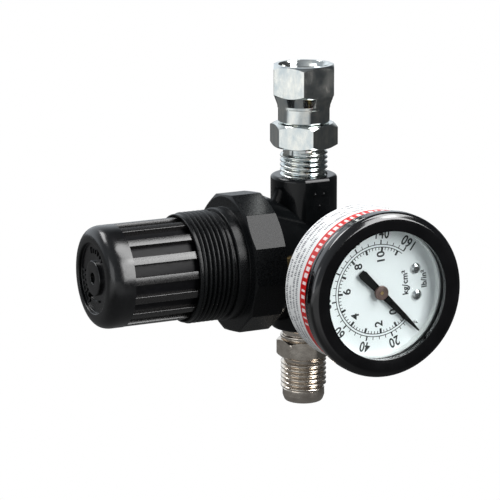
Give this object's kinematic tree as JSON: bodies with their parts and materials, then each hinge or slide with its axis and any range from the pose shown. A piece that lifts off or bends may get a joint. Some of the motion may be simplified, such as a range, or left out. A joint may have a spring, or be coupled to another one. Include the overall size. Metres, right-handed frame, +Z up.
{
  "type": "air pressure regulator",
  "caption": "Miniature air pressure regulator with a push-lock knob, threaded panel bonnet, dial gauge, inlet nipple and swivel outlet nut.",
  "frame": {"origin": "on the port axis, at the shoulder where the inlet nipple's thread meets its hexagon", "axes": "+Z up along the port axis to the swivel nut, -X along the knob's axis, -Y out of the dial"},
  "size_m": [0.0896, 0.0715, 0.0995],
  "materials": {
    "black_casting": "gloss black paint on a die casting",
    "nickel_plate": "nickel plate on turned brass, warm and bright",
    "zinc_plate": "bright zinc plate on turned steel",
    "black_bonnet": "black acetal, satin flats",
    "black_knob": "black acetal, polished",
    "brass": "bare machined brass",
    "spring_steel": "bright steel",
    "aluminium": "stamped, matt",
    "acetal": "white moulded plastic",
    "rubber": "black nitrile",
    "black_enamel": "gloss black enamel",
    "label": "white film label with a red edge stripe",
    "glass": "clear, polished",
    "dial_enamel": "white enamel with black printed scales",
    "bright_screw": "bright plated steel",
    "pointer_black": "black enamel, satin",
    "hub_bronze": "brown anodised disc"
  },
  "bodies": {
    "root": {"body": "black_casting", "inlet_nipple": "nickel_plate", "outlet_adaptor": "zinc_plate", "retaining_wire": "spring_steel", "valve_spring": "spring_steel", "rear_plug": "black_bonnet", "plug_ring": "rubber", "diaphragm": "rubber", "slip_ring": "acetal", "bonnet": "black_bonnet", "main_spring": "spring_steel", "gauge_socket": "brass", "gauge_case": "black_enamel", "label_band": "label", "bezel": "black_enamel", "lens": "glass", "lens_gasket": "rubber", "dial_spacer": "acetal", "dial": "dial_enamel", "dial_screws": "bright_screw", "stop_pin": "bright_screw", "movement_rear_plate": "brass", "movement_front_plate": "brass", "movement_pillars": "brass", "bourdon_tube": "brass", "port_plug": "zinc_plate"},
    "adjusting_screw": {"adjusting_screw": "spring_steel", "screw_clip": "spring_steel"},
    "knob": {"knob": "black_knob", "knob_insert": "black_knob"},
    "spring_nut": {"spring_nut": "brass"},
    "valve_stack": {"valve": "brass", "valve_seal": "rubber", "relief_rivet": "brass", "diaphragm_plate": "aluminium"},
    "swivel_nut": {"swivel_nut": "zinc_plate"},
    "pointer": {"pointer": "pointer_black", "pointer_hub": "hub_bronze", "pinion_arbor": "brass"},
    "sector": {"sector_gear": "brass"},
    "link": {"link": "brass"}
  },
  "joints": [
    {"name": "knob_turn", "type": "hinge", "parent": "root", "child": "adjusting_screw", "pos_m": [0, 0, 0.0302], "axis": [1, 0, 0], "range_deg": [0, 1440]},
    {"name": "knob_pull", "type": "slide", "parent": "adjusting_screw", "child": "knob", "axis": [-1, 0, 0], "range_m": [0, 0.0025]},
    {"name": "spring_nut_slide", "type": "slide", "parent": "root", "child": "spring_nut", "axis": [1, 0, 0], "range_m": [0, 0.003], "deforming": ["main_spring"]},
    {"name": "valve_travel", "type": "slide", "parent": "root", "child": "valve_stack", "axis": [1, 0, 0], "range_m": [0, 0.0008], "stiffness_N_per_m": 500, "springref_m": -0.002, "deforming": ["valve_spring", "diaphragm"]},
    {"name": "nut_swivel", "type": "hinge", "parent": "root", "child": "swivel_nut", "pos_m": [0, 0, 0.0724], "axis": [0, 0, 1], "continuous": true},
    {"name": "pointer_swing", "type": "hinge", "parent": "root", "child": "pointer", "pos_m": [0, -0.04, 0.0292], "axis": [0, 1, 0], "range_deg": [0, 262.5], "stiffness_Nm_per_rad": 0.00004, "springref_deg": -20.05},
    {"name": "sector_swing", "type": "hinge", "parent": "root", "child": "sector", "pos_m": [-0.00855, -0.04, 0.02609], "axis": [0, 1, 0], "range_deg": [-52.5, 0]},
    {"name": "link_swing", "type": "hinge", "parent": "sector", "child": "link", "pos_m": [-0.01165, -0.04, 0.02496], "axis": [0, 1, 0], "range_deg": [0, 52.5]}
  ],
  "couplings": [
    {"joint": "spring_nut_slide", "follows": "knob_turn", "m_per_rad": 0.00011936},
    {"joint": "sector_swing", "follows": "pointer_swing", "ratio": -0.2},
    {"joint": "link_swing", "follows": "pointer_swing", "ratio": 0.2}
  ]
}
